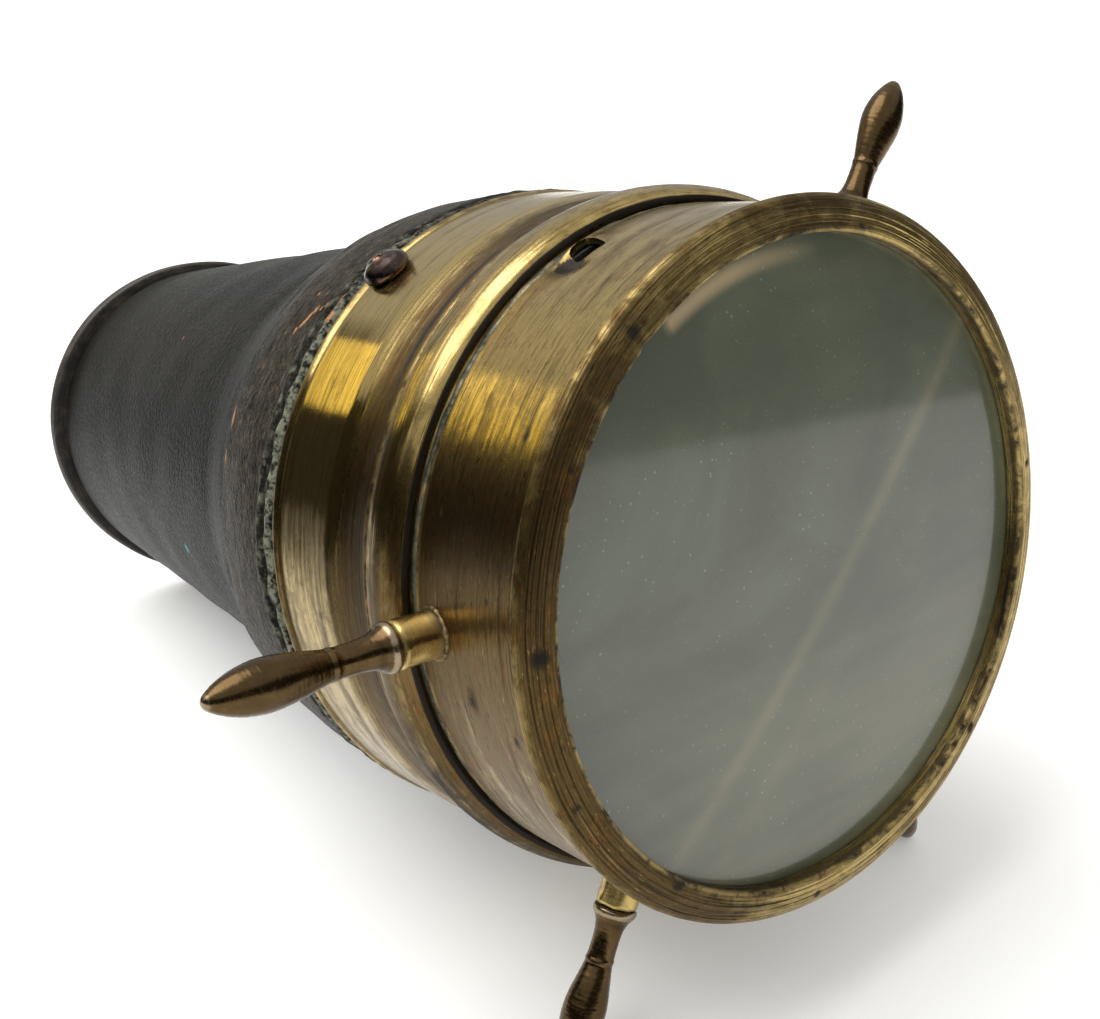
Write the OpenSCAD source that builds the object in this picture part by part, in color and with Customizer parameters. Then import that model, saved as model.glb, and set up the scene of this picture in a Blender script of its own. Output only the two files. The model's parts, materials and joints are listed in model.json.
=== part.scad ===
// Parlour kaleidoscope with a leather covered barrel and a turning brass object case.
// It lies at rest on two of its case handles and on its rear rim.
// Row frame: +Z up, the table is Z = 0, the front glass faces -Y.
// Every piece is drawn about the optical axis, with s measured from the rear rim
// towards the front glass, and is then laid down by rest().

/* [Barrel] */
// Radius of the leather at the eyepiece end
barrel_rear_r = 44.1; // [42:0.1:45]
// Growth of the barrel radius for each mm of length
barrel_taper = 0.084; // [0.078:0.001:0.086]
// Thickness of the leather covering
leather_t = 1.0; // [0.6:0.1:1.4]
// Wall thickness of the pasteboard tube
tube_wall = 2.2; // [1.5:0.1:2.6]
// Place along the barrel where the leather starts to flare
flare_s = 126; // [122:1:130]
// Outer radius of the rim ring at the eyepiece end
rim_r = 46.7; // [46:0.1:48]
// Depth of the rim ring along the axis
rim_depth = 4.5; // [3:0.1:5]
// Radius of the sight hole
sight_r = 7; // [5:0.5:9]

/* [Fixed band] */
// Outer radius of the plain brass band
band_r = 64.4; // [64:0.1:65]
// Greatest radius of the rounded bead at the front of the band
bead_r = 65.3; // [65.1:0.1:66.5]
// Place of the band's rear edge
band_rear_s = 179.5; // [177:0.5:182]
// Number of round head screws that hold the band
screw_count = 3; // [2:1:4]
// Roll of the first band screw about the axis
screw_roll = 124; // [100:1:140]

/* [Object case] */
// Outer radius of the case wall
case_r = 62.1; // [61.8:0.1:62.4]
// Wall thickness of the case
case_wall = 1.2; // [0.8:0.1:1.3]
// Place of the case's rear edge
case_rear_s = 222.8; // [222.4:0.1:223.2]
// Outer radius of the bezel ring
bezel_r = 63.5; // [63:0.1:64.5]
// Radius of the bezel's opening
window_r = 57.1; // [55:0.1:57.5]
// Thickness of the ground front glass
front_glass_t = 2.4; // [1.8:0.1:2.6]
// Thickness of the clear inner glass
inner_glass_t = 1.9; // [1.2:0.1:2.0]
// Radius of the spigot that the case turns on
spigot_r = 55; // [54:0.1:55.5]
// Radial running clearance of the case on the spigot
running_gap = 0.05; // [0.02:0.01:0.1]

/* [Handles] */
// Radius from the axis to a handle's tip
tip_r = 97.5; // [94:0.5:100]
// Radius of a handle socket
socket_r = 3.9; // [3.6:0.1:4.2]
// Height of a socket above the case wall
socket_h = 7; // [5:0.5:8]
// Radius of the hole for a socket's stub
seat_r = 3.2; // [2.8:0.1:3.4]

/* [Optics] */
// Width of each long mirror strip
mirror_w = 64; // [56:1:66]
// Thickness of the mirror glass
mirror_t = 3; // [2:0.5:3.5]
// Half of the angle between the two mirrors
mirror_half_angle = 15; // [11.25:0.75:18]

/* [Hidden] */
$fn = 120;

// fits between neighbouring pieces
slip = 0.1;
glue = 0.02;

// rolls of the five handles, then of the seat whose handle is lost
handle_rolls = [56, -4.5, -60, -120, 177.5];
lost_roll = 114;
seat_s = case_rear_s + 4.9;

// barrel lengths
groove_len = 3.5;
leather_rear_s = rim_depth + groove_len;
tube_front_s = 211;
cuff_front_s = band_rear_s - 0.15;
collar_r = band_r - 1.7;

// band and spigot lengths
bead_rear_s = band_rear_s + 32.5;
band_front_s = case_rear_s - 1.3;
web_t = 3;
spigot_wall = 2;
spigot_front_s = case_rear_s + 11.2;
hub_len = 7.2;

// stack of the object cell, from the bezel backwards
lip_rear_s = case_rear_s + 27.8;
lip_front_s = lip_rear_s + 3.4;
cell_r = case_r - case_wall - 1.8;
front_glass_s = lip_rear_s - 0.1 - front_glass_t;
cell_depth = 8;
spacer_s = front_glass_s - 0.1 - cell_depth;
inner_glass_s = spacer_s - 0.1 - inner_glass_t;
retainer_t = 0.9;
retainer_s = inner_glass_s - 0.05 - retainer_t;
skirt_rear_s = retainer_s - 0.2;

// handle lengths
nose_r = 0.9;
collar_foot_r = case_r + socket_h;
handle_len = tip_r - collar_foot_r;
stud_r = 1.8;

// mirrors
mirror_rear_s = 20;
mirror_front_s = spigot_front_s - 1.5;
mirror_vertex_y = -34;
support_t = 8;

// lying pose: two handle tips and the rim's rear edge touch the table
reach = (tip_r - nose_r) * cos(30) - rim_r;
lay_tilt = atan(reach / seat_s) + asin(nose_r / norm([seat_s, reach]));
axis_rear_z = rim_r * cos(lay_tilt);
front_y = -lip_front_s * cos(lay_tilt) - window_r * sin(lay_tilt) - 0.7;
rear_y = rim_r * sin(lay_tilt);
mid_y = (front_y + rear_y) / 2;
mid_x = tip_r * (cos(handle_rolls[1]) + cos(handle_rolls[4])) / 2;

brass = [0.66, 0.53, 0.27];
old_brass = [0.45, 0.36, 0.20];
bronze = [0.24, 0.17, 0.11];
leather = [0.15, 0.14, 0.14];
board = [0.55, 0.46, 0.33];
glass_grey = [0.62, 0.68, 0.65];

function tube_r(s) = barrel_rear_r - leather_t + barrel_taper * s;
function skin_r(s) = barrel_rear_r + barrel_taper * s;

// leather outline in front of the flare, as [place, radius]
flare_end_r = band_r + 0.5;
flare_top = [
    [flare_s, skin_r(flare_s)],
    [flare_s + 6, 55.9],
    [flare_s + 12, 58.0],
    [flare_s + 17, 60.2],
    [flare_s + 21, 61.9],
    [flare_s + 25, 62.9],
    [flare_s + 31, 63.6],
    [flare_s + 39, 64.1],
    [cuff_front_s - 5, 64.4],
    [cuff_front_s - 2.2, flare_end_r],
    [cuff_front_s - 0.9, flare_end_r],
    [cuff_front_s, flare_end_r - 0.6]
];

// lays a piece down in its resting pose
module rest() {
    translate([-mid_x, -mid_y, axis_rear_z])
        rotate([90 - lay_tilt, 0, 0])
            children();
}

// turned ring from an outline of [radius, place] points
module turned(points) {
    rotate_extrude()
        polygon(points);
}

module tube_between(outer, inner, from, to) {
    turned([[inner, from], [outer, from], [outer, to], [inner, to]]);
}

// places a piece on the radial axis of a handle seat, with +Z pointing outwards
module on_seat(roll) {
    translate([0, 0, seat_s])
        rotate([0, 0, roll])
            rotate([0, 90, 0])
                children();
}

module wedge_opening(grow) {
    half = (mirror_w + grow) * sin(mirror_half_angle) + grow;
    top = mirror_vertex_y + mirror_w * cos(mirror_half_angle);
    polygon([
        [-grow - 1, mirror_vertex_y - grow],
        [grow + 1, mirror_vertex_y - grow],
        [half + 2.2, top + 1],
        [half + 2.2, top + 4.6],
        [-half - 2.2, top + 4.6],
        [-half - 2.2, top + 1]
    ]);
}

module barrel_tube() {
    color(board) rest()
        turned([
            [tube_r(rim_depth + 0.1) - tube_wall, rim_depth + 0.1],
            [tube_r(rim_depth + 0.1) - 0.5, rim_depth + 0.1],
            [tube_r(leather_rear_s) - 0.5, leather_rear_s],
            [tube_r(leather_rear_s), leather_rear_s],
            [tube_r(tube_front_s), tube_front_s],
            [tube_r(tube_front_s) - tube_wall, tube_front_s]
        ]);
}

module leather_cover() {
    inner_edge = [for (p = flare_top) [p[1] - leather_t, p[0]]];
    outer_edge = [for (i = [len(flare_top) - 1:-1:0]) [flare_top[i][1], flare_top[i][0]]];
    color(leather) rest()
        turned(concat(
            [[tube_r(leather_rear_s) + glue, leather_rear_s]],
            [[tube_r(flare_s) + glue, flare_s]],
            [for (i = [1:len(inner_edge) - 1]) inner_edge[i]],
            outer_edge,
            [[skin_r(leather_rear_s), leather_rear_s]]
        ));
}

module flare_collar() {
    under = [for (p = flare_top) [p[1] - leather_t - glue, p[0]]];
    last = len(under) - 1;
    color([0.42, 0.30, 0.18]) rest()
        turned(concat(
            [for (i = [1:last - 1]) under[i]],
            [
                [under[last][0], cuff_front_s],
                [collar_r, cuff_front_s],
                [collar_r, tube_front_s],
                [tube_r(tube_front_s) + glue, tube_front_s],
                [tube_r(flare_s + 6) + glue, flare_s + 6]
            ]
        ));
}

module rim_ring() {
    lining = tube_r(rim_depth + 0.1) - tube_wall - slip;
    color([0.16, 0.12, 0.09]) rest()
        turned([
            [lining - 2.5, 1],
            [lining - 1.5, 0],
            [rim_r - 1.2, 0],
            [rim_r - 0.3, 0.35],
            [rim_r, 1.2],
            [rim_r, rim_depth - 1],
            [rim_r - 0.8, rim_depth],
            [lining, rim_depth],
            [lining, rim_depth + 9],
            [lining - 2.5, rim_depth + 9]
        ]);
}

module eye_disc() {
    outer = tube_r(rim_depth + 0.1) - tube_wall - slip - 2.5 - slip;
    color([0.08, 0.07, 0.07]) rest()
        turned([
            [sight_r, 4],
            [sight_r + 2.5, 2.2],
            [outer, 2.2],
            [outer, 5.2],
            [sight_r + 5.1, 5.2],
            [sight_r + 5.1, 5.0],
            [sight_r, 5.0]
        ]);
}

module eye_glass() {
    color(glass_grey) rest()
        translate([0, 0, 5.25])
            cylinder(r = sight_r + 3.5, h = 1.6);
}

module eye_glass_ring() {
    color(old_brass) rest()
        tube_between(sight_r + 5.5, sight_r + 3.6, 5.25, 8);
}

module mirror_strip(side) {
    translate([0, mirror_vertex_y, mirror_rear_s])
        rotate([0, 0, -side * mirror_half_angle])
            translate([side > 0 ? 0.2 : -0.2 - mirror_t, 0, 0])
                cube([mirror_t, mirror_w, mirror_front_s - mirror_rear_s]);
}

module mirror_left() {
    color([0.75, 0.77, 0.78]) rest() mirror_strip(-1);
}

module mirror_right() {
    color([0.75, 0.77, 0.78]) rest() mirror_strip(1);
}

module mirror_board() {
    top = mirror_vertex_y + mirror_w * cos(mirror_half_angle);
    half = mirror_w * sin(mirror_half_angle) + mirror_t;
    color([0.06, 0.06, 0.06]) rest()
        translate([-half, top + 0.9, mirror_rear_s])
            cube([2 * half, 2.4, mirror_front_s - mirror_rear_s]);
}

module support_disc(s, radius) {
    difference() {
        translate([0, 0, s])
            cylinder(r = radius, h = support_t);
        translate([0, 0, s - 1])
            linear_extrude(support_t + 2)
                wedge_opening(mirror_t + 0.6);
    }
}

module mirror_support_rear() {
    color(board) rest()
        support_disc(26, tube_r(26) - tube_wall - slip);
}

module mirror_support_front() {
    color(board) rest()
        support_disc(196, tube_r(196) - tube_wall - slip);
}

module fixed_band() {
    mid_bead_s = (bead_rear_s + band_front_s) / 2;
    color(brass) rest()
        turned([
            [collar_r + slip, band_rear_s],
            [band_r + 0.2, band_rear_s],
            [band_r + 0.5, band_rear_s + 0.5],
            [band_r + 0.4, band_rear_s + 1.2],
            [band_r, band_rear_s + 1.8],
            [band_r, band_rear_s + 19.5],
            [band_r - 0.6, band_rear_s + 22.5],
            [band_r - 0.8, band_rear_s + 26],
            [band_r - 0.4, band_rear_s + 29.5],
            [band_r + 0.1, band_rear_s + 31.5],
            [band_r - 0.5, band_rear_s + 31.9],
            [band_r - 0.5, bead_rear_s],
            [band_r + 0.3, bead_rear_s + 0.5],
            [bead_r - 0.2, bead_rear_s + 2],
            [bead_r, mid_bead_s - 0.5],
            [bead_r - 0.1, mid_bead_s + 1.4],
            [bead_r - 0.6, band_front_s - 1.4],
            [bead_r - 1.6, band_front_s],
            [spigot_r + glue, band_front_s],
            [spigot_r + glue, band_front_s - web_t],
            [collar_r + slip, band_front_s - web_t]
        ]);
}

module spigot() {
    color(old_brass) rest()
        turned([
            [spigot_r - spigot_wall, band_front_s - web_t - 1.6],
            [spigot_r + 3, band_front_s - web_t - 1.6],
            [spigot_r + 3, band_front_s - web_t - glue],
            [spigot_r, band_front_s - web_t - glue],
            [spigot_r, spigot_front_s],
            [spigot_r - spigot_wall, spigot_front_s]
        ]);
}

module retaining_ring() {
    from = case_rear_s + 0.4 + hub_len + 0.4;
    color(old_brass) rest()
        tube_between(spigot_r + 2.4, spigot_r + glue, from, spigot_front_s - 0.5);
}

module band_screw(roll) {
    translate([0, 0, band_rear_s + 4.2])
        rotate([0, 0, roll])
            rotate([0, 90, 0]) {
                rotate_extrude()
                    polygon([
                        [0, band_r + 0.6],
                        [4.3, band_r + 0.6],
                        [4.4, band_r + 1.2],
                        [4.0, band_r + 2.2],
                        [3.0, band_r + 3.0],
                        [1.7, band_r + 3.4],
                        [0.7, band_r + 3.45],
                        [0.5, band_r + 3.1],
                        [0, band_r + 3.1]
                    ]);
            }
}

module band_screws() {
    color([0.17, 0.13, 0.12]) rest()
        for (i = [0:screw_count - 1])
            band_screw(screw_roll + i * 360 / screw_count);
}

module case_wall_ring() {
    color(brass) rest()
        difference() {
            tube_between(case_r, case_r - case_wall, case_rear_s, lip_rear_s - glue);
            for (roll = concat(handle_rolls, [lost_roll]))
                on_seat(roll)
                    translate([0, 0, case_r - 6])
                        cylinder(r = seat_r, h = 12);
        }
}

module case_hub() {
    web_rear = case_rear_s + 0.4;
    color([0.40, 0.40, 0.33]) rest()
        turned([
            [spigot_r + running_gap, web_rear],
            [case_r - case_wall - glue, web_rear],
            [case_r - case_wall - glue, web_rear + 1.2],
            [spigot_r + 2, web_rear + 1.2],
            [spigot_r + 2, web_rear + hub_len],
            [spigot_r + running_gap, web_rear + hub_len]
        ]);
}

module bezel_ring() {
    skirt_out = case_r - case_wall - glue;
    color(brass) rest()
        turned([
            [cell_r + slip, skirt_rear_s],
            [skirt_out, skirt_rear_s],
            [skirt_out, lip_rear_s],
            [bezel_r - 0.2, lip_rear_s],
            [bezel_r, lip_rear_s + 0.3],
            [bezel_r, lip_rear_s + 1.2],
            [bezel_r - 0.5, lip_rear_s + 1.9],
            [bezel_r - 1.4, lip_rear_s + 2.5],
            [bezel_r - 2.8, lip_rear_s + 3.0],
            [bezel_r - 4.2, lip_rear_s + 3.3],
            [window_r + 1, lip_front_s],
            [window_r + 0.3, lip_front_s - 0.2],
            [window_r, lip_front_s - 0.7],
            [window_r, lip_rear_s],
            [cell_r + slip, lip_rear_s]
        ]);
}

module front_glass() {
    color(glass_grey) rest()
        translate([0, 0, front_glass_s])
            cylinder(r = cell_r, h = front_glass_t);
}

module inner_glass() {
    color(glass_grey) rest()
        translate([0, 0, inner_glass_s])
            cylinder(r = cell_r, h = inner_glass_t);
}

module cell_spacer() {
    color(board) rest()
        tube_between(cell_r, cell_r - 1.6, spacer_s, spacer_s + cell_depth);
}

module glass_retainer() {
    color(old_brass) rest()
        tube_between(cell_r, cell_r - 2.2, retainer_s, retainer_s + retainer_t);
}

// a loose piece lying at the bottom of the cell, at a distance and roll
module in_cell(radius, roll, lift) {
    rotate([0, 0, roll])
        translate([0, -radius, spacer_s + lift])
            children();
}

module glass_chips() {
    color([0.62, 0.20, 0.16]) rest()
        for (i = [-4:4])
            in_cell(cell_r - 7.5, i * 8.2, 0.8 + (i + 4) % 3 * 0.5)
                rotate([0, 0, i * 33])
                    cylinder(r = 2.6 + (i + 4) % 2 * 0.7, h = 2.4 + (i + 4) % 3 * 0.8, $fn = 3 + (i + 4) % 4);
}

module glass_ampoules() {
    color([0.30, 0.45, 0.62]) rest()
        for (i = [-1:1])
            in_cell(cell_r - 16, i * 25, 4)
                rotate([0, 90, i * 9]) {
                    cylinder(r = 2.6, h = 12, center = true);
                    translate([0, 0, 6])
                        cylinder(r1 = 2.6, r2 = 0.8, h = 2.5);
                }
}

module socket(roll) {
    color(old_brass) rest()
        on_seat(roll)
            difference() {
                union() {
                    cylinder(r = seat_r - glue, h = collar_foot_r - glue);
                    translate([0, 0, case_r - 2])
                        cylinder(r = socket_r, h = socket_h + 2 - glue);
                }
                translate([0, 0, -1])
                    cylinder(r = seat_r + 1, h = case_r - 1.7 + 1);
                rotate([0, -90, 0])
                    translate([0, 0, -20])
                        difference() {
                            cylinder(r = case_r + glue, h = 40);
                            rotate([0, 90, 0])
                                translate([-20, 0, 0])
                                    cylinder(r = seat_r - glue, h = case_r + 5);
                        }
                translate([0, 0, case_r - 4])
                    cylinder(r = stud_r + glue, h = socket_h + 8);
            }
}

module socket_1() { socket(handle_rolls[0]); }
module socket_2() { socket(handle_rolls[1]); }
module socket_3() { socket(handle_rolls[2]); }
module socket_4() { socket(handle_rolls[3]); }
module socket_5() { socket(handle_rolls[4]); }

// handle outline as [part of its length, radius]
handle_outline = [
    [0, 3.9], [0.025, 4.1], [0.055, 3.75], [0.095, 3.05], [0.14, 2.68], [0.2, 2.47],
    [0.3, 2.45], [0.335, 2.5], [0.34, 2.62], [0.355, 2.62], [0.36, 2.52], [0.42, 2.85],
    [0.52, 3.45], [0.62, 3.92], [0.68, 4.02], [0.73, 3.98], [0.79, 3.7], [0.84, 3.32],
    [0.89, 2.75], [0.93, 2.18], [0.96, 1.6], [0.975, 1.2]
];

module handle(roll) {
    color(bronze) rest()
        on_seat(roll) {
            rotate_extrude()
                polygon(concat(
                    [[0, collar_foot_r - 6]],
                    [[stud_r, collar_foot_r - 6], [stud_r, collar_foot_r]],
                    [for (p = handle_outline) [p[1], collar_foot_r + p[0] * handle_len]],
                    [[nose_r * 0.75, tip_r - 0.25], [0, tip_r]]
                ));
        }
}

module handle_1() { handle(handle_rolls[0]); }
module handle_2() { handle(handle_rolls[1]); }
module handle_3() { handle(handle_rolls[2]); }
module handle_4() { handle(handle_rolls[3]); }
module handle_5() { handle(handle_rolls[4]); }

barrel_tube();
leather_cover();
flare_collar();
rim_ring();
eye_disc();
eye_glass();
eye_glass_ring();
mirror_left();
mirror_right();
mirror_board();
mirror_support_rear();
mirror_support_front();
fixed_band();
spigot();
retaining_ring();
band_screws();
case_wall_ring();
case_hub();
bezel_ring();
front_glass();
inner_glass();
cell_spacer();
glass_retainer();
glass_chips();
glass_ampoules();
socket_1();
socket_2();
socket_3();
socket_4();
socket_5();
handle_1();
handle_2();
handle_3();
handle_4();
handle_5();
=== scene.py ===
"""Parlour kaleidoscope with a leather covered barrel and a turning brass object case."""

import json
import math

import bmesh
import bpy
import numpy as np
from bpy.props import FloatProperty, FloatVectorProperty, IntProperty, PointerProperty
from mathutils import Matrix, Vector


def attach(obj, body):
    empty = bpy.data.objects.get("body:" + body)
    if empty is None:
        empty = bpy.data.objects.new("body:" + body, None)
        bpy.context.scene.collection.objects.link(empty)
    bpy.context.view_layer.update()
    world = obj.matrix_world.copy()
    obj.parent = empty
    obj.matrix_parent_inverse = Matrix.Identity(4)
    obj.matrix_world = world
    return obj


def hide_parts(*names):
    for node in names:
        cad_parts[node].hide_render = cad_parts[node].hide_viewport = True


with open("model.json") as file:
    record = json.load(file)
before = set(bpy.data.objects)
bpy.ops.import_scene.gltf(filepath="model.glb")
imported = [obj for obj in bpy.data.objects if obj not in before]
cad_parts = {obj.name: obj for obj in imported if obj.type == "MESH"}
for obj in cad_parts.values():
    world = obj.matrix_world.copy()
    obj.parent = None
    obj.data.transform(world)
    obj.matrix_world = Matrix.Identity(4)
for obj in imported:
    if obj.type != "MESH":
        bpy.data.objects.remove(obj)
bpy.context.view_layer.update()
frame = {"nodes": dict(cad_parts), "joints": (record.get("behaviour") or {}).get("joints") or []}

bl_info = {
    "name": "Parlour kaleidoscope",
    "version": (1, 0, 0),
    "blender": (4, 5, 0),
    "location": "View3D > Sidebar > Kaleidoscope",
    "description": "Builds the looks of a leather and brass parlour kaleidoscope on its frame",
    "category": "Object",
}

MM = 0.001

# places are in mm along the optical axis from the rear rim, rolls in degrees around it;
# the turning joint lies on that axis, level with the handle seats
SEAT_PLACE = 227.7
CASE_JOINT = frame["joints"][0]
AHEAD = Vector(CASE_JOINT["axis"]).normalized()
SIDEWAYS = Vector((1, 0, 0))
UPWARDS = AHEAD.cross(SIDEWAYS).normalized()
REAR = Vector(CASE_JOINT["pos_m"]) - AHEAD * SEAT_PLACE * MM

HANDLE_ROLLS = (56.0, -4.5, -60.0, -120.0, 177.5)
EMPTY_SEAT_ROLL = 114.0
SCREW_ROLLS = (124.0, 244.0, 4.0)
SCREW_PLACE = 183.7
CASE_RADIUS = 62.1
BAND_RADIUS = 64.4
HANDLE_FOOT = 69.1
HANDLE_TIP = 97.5
LEATHER_START = 8.0
FLARE_START = 126
EDGE_CRACK = 175.0
GROOVE_PLACE = 211.6
BEZEL_REAR = 250.6


def turning_frame(origin, along, across):
    """Matrix of a piece turned about the direction along, whose roll starts at across."""
    third = along.cross(across).normalized()
    turn = Matrix((across, third, along)).transposed().to_4x4()
    turn.translation = origin
    return turn


AXIS = turning_frame(REAR, AHEAD, SIDEWAYS)


def radial(roll):
    """Direction that points away from the optical axis at a roll in degrees."""
    angle = math.radians(roll)
    return SIDEWAYS * math.cos(angle) + UPWARDS * math.sin(angle)


def seat_frame(roll, place):
    """Matrix of a piece that stands on the case or band, its Z pointing away from the axis."""
    return turning_frame(REAR + AHEAD * place * MM, radial(roll), AHEAD)


# ---------------------------------------------------------------- shapes


def rounded(points, step, rounds=2):
    """An open outline with its corners cut smooth, in even steps. Points are (place, radius)."""
    line = np.array(points, float)
    for _ in range(rounds):
        near = line[:-1] * 0.75 + line[1:] * 0.25
        far = line[:-1] * 0.25 + line[1:] * 0.75
        cut = np.stack([near, far], 1).reshape(-1, 2)
        line = np.vstack([line[:1], cut, line[-1:]])
    length = np.concatenate([[0], np.cumsum(np.hypot(*np.diff(line, axis=0).T))])
    count = max(2, int(length[-1] / step) + 1)
    even = np.linspace(0, length[-1], count)
    return np.stack([np.interp(even, length, line[:, k]) for k in (0, 1)], 1)


def swell(roll, place, seed, turns, waves, terms=14):
    """Smooth lumps around zero that close on themselves around the axis.
    turns is the fewest and most lumps around, waves the shortest and longest lump along, in mm."""
    rng = np.random.default_rng(seed)
    total = 0
    for _ in range(terms):
        around = rng.integers(turns[0], turns[1] + 1)
        along = 2 * math.pi / rng.uniform(*waves) * rng.choice((-1, 1))
        start = rng.uniform(0, 2 * math.pi)
        total = total + np.sin(around * np.radians(roll) + along * place + start)
    return total / math.sqrt(terms)


def wrapped(roll):
    """The same roll, from -180 to 180 degrees."""
    return (roll + 180) % 360 - 180


def fade(value, start, length):
    """Goes from 0 at start to 1 at start + length."""
    return np.clip((value - start) / length, 0, 1)


def mark(roll, place, radius, at_roll, at_place, half_around, half_along, lean=0.0):
    """1 at the middle of a mark and 0 from its edge outwards. Half sizes are in mm; lean tips it."""
    around = wrapped(roll - at_roll) * math.pi / 180 * radius
    along = place - at_place - lean * around
    return np.clip(1 - np.hypot(around / half_around, along / half_along), 0, 1)


def ridge(value, centre, half):
    """A smooth bump of height 1 at centre that ends half away from it."""
    return np.clip(1 - ((value - centre) / half) ** 2, 0, None) ** 2


class Turned:
    """A mesh turned about its own Z axis, with arrays for painting marks on it."""

    def __init__(self, name, outline, rolls, where, height=None, closed=True, blur=0.8):
        outline = np.array(outline, float)
        rolls = np.array(rolls, float)
        rows, columns = len(outline), len(rolls)
        ahead = np.roll(outline, -1, 0) if closed else np.vstack([outline[1:], outline[-1:]])
        behind = np.roll(outline, 1, 0) if closed else np.vstack([outline[:1], outline[:-1]])
        tangent = ahead - behind
        tangent /= np.maximum(np.hypot(*tangent.T), 1e-9)[:, None]
        normal = np.stack([-tangent[:, 1], tangent[:, 0]], 1)
        steps = np.hypot(*np.diff(outline, axis=0).T)
        along = np.concatenate([[0], np.cumsum(steps)])
        spacing = np.gradient(along)
        apart = along[:, None] - along[None, :]
        weight = np.exp(-(apart**2) / (2 * blur**2)) * spacing[None, :]
        blurred = weight @ outline / weight.sum(1)[:, None]
        relief = ((outline - blurred) * normal).sum(1)

        grid = np.ones((rows, columns))
        self.roll = (grid * rolls[None, :]).ravel()
        self.place = (grid * outline[:, :1]).ravel()
        self.radius = (grid * outline[:, 1:]).ravel()
        self.along = (grid * along[:, None]).ravel()
        self.relief = (grid * relief[:, None]).ravel()
        raised = height(self) if height else 0.0
        place = self.place + raised * (grid * normal[:, :1]).ravel()
        radius = self.radius + raised * (grid * normal[:, 1:]).ravel()
        radius = np.where(self.radius <= 0, 0, np.maximum(radius, 0))
        turn = np.radians(self.roll)
        points = np.stack([radius * np.cos(turn), radius * np.sin(turn), place], 1) * MM

        i, j = np.meshgrid(
            np.arange(rows if closed else rows - 1), np.arange(columns), indexing="ij"
        )
        i, j = i.ravel(), j.ravel()
        up, over = (i + 1) % rows, (j + 1) % columns
        faces = np.stack(
            [i * columns + j, i * columns + over, up * columns + over, up * columns + j], 1
        )
        mesh = bpy.data.meshes.new(name)
        mesh.from_pydata(points.tolist(), [], faces.tolist())
        self.object = bpy.data.objects.new(name, mesh)
        bpy.context.scene.collection.objects.link(self.object)
        self.object.matrix_world = where
        self.paint("relief", self.relief)

    def swell(self, *wanted):
        """Lumps over this mesh. See the function swell."""
        return swell(self.roll, self.place, *wanted)

    def mark(self, *wanted):
        """A mark on this mesh. See the function mark."""
        return mark(self.roll, self.place, self.radius, *wanted)

    def across(self):
        """How far each point lies from the axis along X and along Y, in mm."""
        turn = np.radians(self.roll)
        return self.radius * np.cos(turn), self.radius * np.sin(turn)

    def paint(self, name, values):
        """Stores one number for each point of the mesh, for its material."""
        layers = self.object.data.attributes
        layer = layers.get(name) or layers.new(name, "FLOAT", "POINT")
        layer.data.foreach_set("value", np.asarray(values, np.float32))

    def finish(self, material, body, slot, *nodes, sharp=40, settle=False):
        """Closes poles, smooths, dresses the piece and hands it to its body."""
        mesh = self.object.data
        if settle:
            mesh.transform(self.object.matrix_world)
            self.object.matrix_world = Matrix.Identity(4)
        if (self.radius <= 0).any():
            work = bmesh.new()
            work.from_mesh(mesh)
            bmesh.ops.remove_doubles(work, verts=work.verts, dist=1e-7)
            work.to_mesh(mesh)
            work.free()
        dress(self.object, material, sharp)
        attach(self.object, body)
        if nodes:
            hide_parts(*nodes)


def dress(piece, material, sharp=40):
    """Gives a piece one material and smooth shading with crisp edges."""
    mesh = piece.data
    mesh.materials.clear()
    mesh.materials.append(material)
    mesh.shade_smooth()
    mesh.set_sharp_from_angle(angle=math.radians(sharp))


# ---------------------------------------------------------------- finishes


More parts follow.
